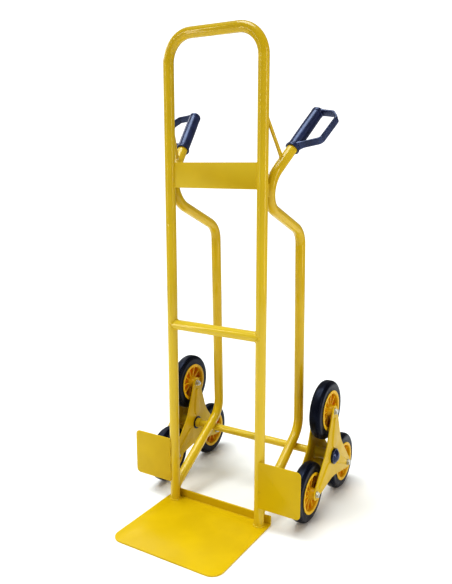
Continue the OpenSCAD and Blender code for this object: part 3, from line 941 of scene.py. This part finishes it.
def fasteners(name, side):
    """The three wheel bolts of a star, with their nuts and washers."""
    kinds = {
        "bolt": ([(bolt_profile(), False)], "wheel_bolts"),
        "nut": ([(nut_profile(), True)], "wheel_nuts"),
        "washer": ([(washer_profile(237.0), True), (washer_profile(182.4), True)], "wheel_washers"),
    }
    for kind, (profiles, node) in kinds.items():
        bm = bmesh.new()
        for angle in ARMS.values():
            for profile, wrap in profiles:
                revolve(bm, profile, 48, arm_place(side, angle), wrap)
        mesh = make_mesh(f"{kind}_set_{name}", bm, sharp=25)
        make_piece(mesh.name, mesh, ZINC, f"star_{name}", [f"{node}_{name}"])


# ---- wheels ----

def tyre_profile():
    """Half of the tyre's section from its seat to the middle of its tread, then mirrored."""
    half_w = 15.0
    shoulder_r = 11.0
    centre = Vector((half_w - shoulder_r, 75 - shoulder_r))
    half = [(half_w - 0.8, 49.05), (half_w - 0.1, 49.7), (half_w, 51), (half_w, 56.5)]
    half += [(half_w - 0.5, 57.0), (half_w - 0.5, 57.8), (half_w, 58.3), (half_w, 62)]
    groove_angles = (35, 50, 65)
    groove = ((-4.0, 0.0), (-2.4, 1.1), (1.2, 1.1), (2.8, 0.0))
    for angle in range(0, 95, 5):
        for turn, drop in groove if angle in groove_angles else ((0.0, 0.0),):
            spot = centre + on_circle(shoulder_r - drop, angle + turn)
            half.append((spot.x, spot.y))
    half += [(0.5, 75.0), (0.25, 75.0)]
    other = [(-x, r) for x, r in reversed(half)]
    return half + other


def rim_profile():
    """The rim's whole section: an outer ring with two lips, a web and a conical hub."""
    half = [(23.0, 6.05), (23.0, 13.0), (2.5, 17.0), (2.5, 43.5), (15.3, 43.5)]
    half += [(17.0, 45.0), (17.0, 51.5), (15.3, 51.5), (15.3, 49.0)]
    radii = [0.5, 1.2, 2.5, 2.5, 1.5, 0.8, 0.6, 0.3, 0.3]
    other = [(-x, r) for x, r in reversed(half)]
    loop = rounded_loop(half + other, radii + radii[::-1], steps=4)
    return [(p.x, p.y) for p in loop]


def rim_rib(bm, spin, face):
    """One moulded rib between hub and ring, with drafted sides and a flare at both ends."""
    half_section = [(2.6, 1.0), (1.9, 9.4), (1.6, 10.3), (1.0, 10.8)]
    start = 13.5
    length = 31.0
    steps = 10
    loops = []
    for i in range(steps + 1):
        part = i / steps
        flare = 1 + 0.9 * max(0.0, 1 - part * 5) ** 2 + 0.9 * max(0.0, part * 5 - 4) ** 2
        section = [(t * flare, x) for t, x in half_section]
        section += [(-t, x) for t, x in reversed(section)]
        r = start + length * part
        loops.append([spin @ Vector((face * x, r, t)) for t, x in section])
    loft(bm, loops)


def wheel_meshes():
    bm = bmesh.new()
    revolve(bm, tyre_profile(), 128, wrap=True)
    tyre = make_mesh("tyre_mesh", bm, Matrix.Scale(MM, 4), sharp=40)
    bm = bmesh.new()
    revolve(bm, rim_profile(), 96, wrap=True)
    ribs = 10
    for i in range(ribs):
        for face in (-1, 1):
            rim_rib(bm, Matrix.Rotation(2 * math.pi * i / ribs, 4, "X"), face)
    rim = make_mesh("rim_mesh", bm, Matrix.Scale(MM, 4))
    return tyre, rim


def wheels():
    tyre, rim = wheel_meshes()
    for name in SIDES:
        for arm in ARMS:
            place = f"{name}_{arm}"
            centre = middle(f"tyre_{place}")
            body = f"wheel_{place}"
            make_piece(f"tread_{place}", tyre, RUBBER, body, [f"tyre_{place}"], centre)
            make_piece(f"spokes_{place}", rim, RIM, body, [f"rim_{place}"], centre)


# ---- CAD nodes that stay ----

def paint_cad_nodes():
    finishes = {"frame_yellow": TUBE_COAT, "wheel_rim": RIM, "tyre_rubber": RUBBER, "grip_plastic": GRIP}
    finishes.update({"cap_plastic": CAP, "bush_plastic": BUSH, "zinc_steel": ZINC})
    slots = {part["node"]: part["material_slot"] for part in frame["record"]["subparts"]}
    for name, node in frame["nodes"].items():
        node.data.materials.clear()
        node.data.materials.append(finishes[slots[name]])


# ---- stage ----

def add_floor():
    reach = 2.4
    below = 0.0003
    bm = bmesh.new()
    corners = [(-reach, -reach, 0), (reach, -reach, 0), (reach, reach, 0), (-reach, reach, 0)]
    bm.faces.new([bm.verts.new(c) for c in corners])
    mesh = make_mesh("floor", bm, Matrix.Translation((0, 0, -below)))
    mesh.materials.append(studio_floor())
    floor = bpy.data.objects.new("floor", mesh)
    bpy.context.scene.collection.objects.link(floor)


def place_lamp(name, light, location, target):
    lamp = bpy.data.objects.new(name, light)
    bpy.context.scene.collection.objects.link(lamp)
    lamp.location = location
    lamp.rotation_euler = (Vector(target) - Vector(location)).to_track_quat("-Z", "Y").to_euler()


def add_sun(name, location, softness, strength, colour=(1, 1, 1)):
    light = bpy.data.lights.new(name, "SUN")
    light.angle = math.radians(softness)
    light.energy = strength
    light.color = colour
    place_lamp(name, light, location, (0, 0, 0))


def add_panel(name, location, target, size, power, colour=(1, 1, 1)):
    light = bpy.data.lights.new(name, "AREA")
    light.shape = "RECTANGLE"
    light.size = size[0]
    light.size_y = size[1]
    light.energy = power
    light.color = colour
    place_lamp(name, light, location, target)


def add_backdrop():
    """White behind the object, and a dimmer white as its light."""
    world = bpy.data.worlds.new("studio")
    world.use_nodes = True
    tree = world.node_tree
    seen = tree.nodes["Background"]
    seen.inputs["Color"].default_value = (1.0, 1.0, 1.0, 1.0)
    seen.inputs["Strength"].default_value = 1.05
    lit = tree.nodes.new("ShaderNodeBackground")
    lit.inputs["Color"].default_value = (1.0, 1.0, 1.0, 1.0)
    lit.inputs["Strength"].default_value = 0.24
    path = tree.nodes.new("ShaderNodeLightPath")
    blend = tree.nodes.new("ShaderNodeMixShader")
    tree.links.new(path.outputs["Is Camera Ray"], blend.inputs[0])
    tree.links.new(lit.outputs[0], blend.inputs[1])
    tree.links.new(seen.outputs[0], blend.inputs[2])
    tree.links.new(blend.outputs[0], tree.nodes["World Output"].inputs["Surface"])
    bpy.context.scene.world = world


def add_studio():
    warm = (1.0, 0.87, 0.74)
    add_backdrop()
    add_sun("overhead", (-0.15, -0.10, 1.0), 40, 2.35, (0.94, 1.0, 1.0))
    add_panel("left_strip", (-1.5, -2.1, 1.2), (0, 0, 0.6), (0.2, 2.6), 12, warm)
    add_panel("right_panel", (2.6, -0.2, 1.1), (0, 0, 0.4), (0.5, 2.2), 22, warm)
    add_panel("high_strip", (-1.6, 0.2, 1.6), (0, 0, 0.5), (2.8, 0.4), 11)
    bpy.context.scene.view_settings.view_transform = "Standard"
    bpy.context.scene.view_settings.look = "Medium High Contrast"


def add_camera():
    camera = bpy.data.cameras.new("camera")
    camera.lens = 39.97
    camera.sensor_width = 36.0
    viewer = bpy.data.objects.new("camera", camera)
    bpy.context.scene.collection.objects.link(viewer)
    tilt_down = 11.23
    turn_left = 31.46
    viewer.location = (0.8092, UPRIGHT_PLANE - 1.2722, 0.8695)
    viewer.rotation_euler = (math.radians(90 - tilt_down), 0, math.radians(turn_left))
    bpy.context.scene.camera = viewer


paint_cad_nodes()
toe_plate()
cross_plate()
frame_welds()
for side_name, side_sign in SIDES.items():
    wheel_guard(side_name, side_sign)
    brace(side_name, side_sign)
    hand_grip(side_name, side_sign)
    for plate_face in ("inner", "outer"):
        star_plate(side_name, side_sign, plate_face)
    star_welds(side_name, side_sign)
    hub_dome(side_name, side_sign)
    fasteners(side_name, side_sign)
wheels()
add_floor()
add_studio()
add_camera()
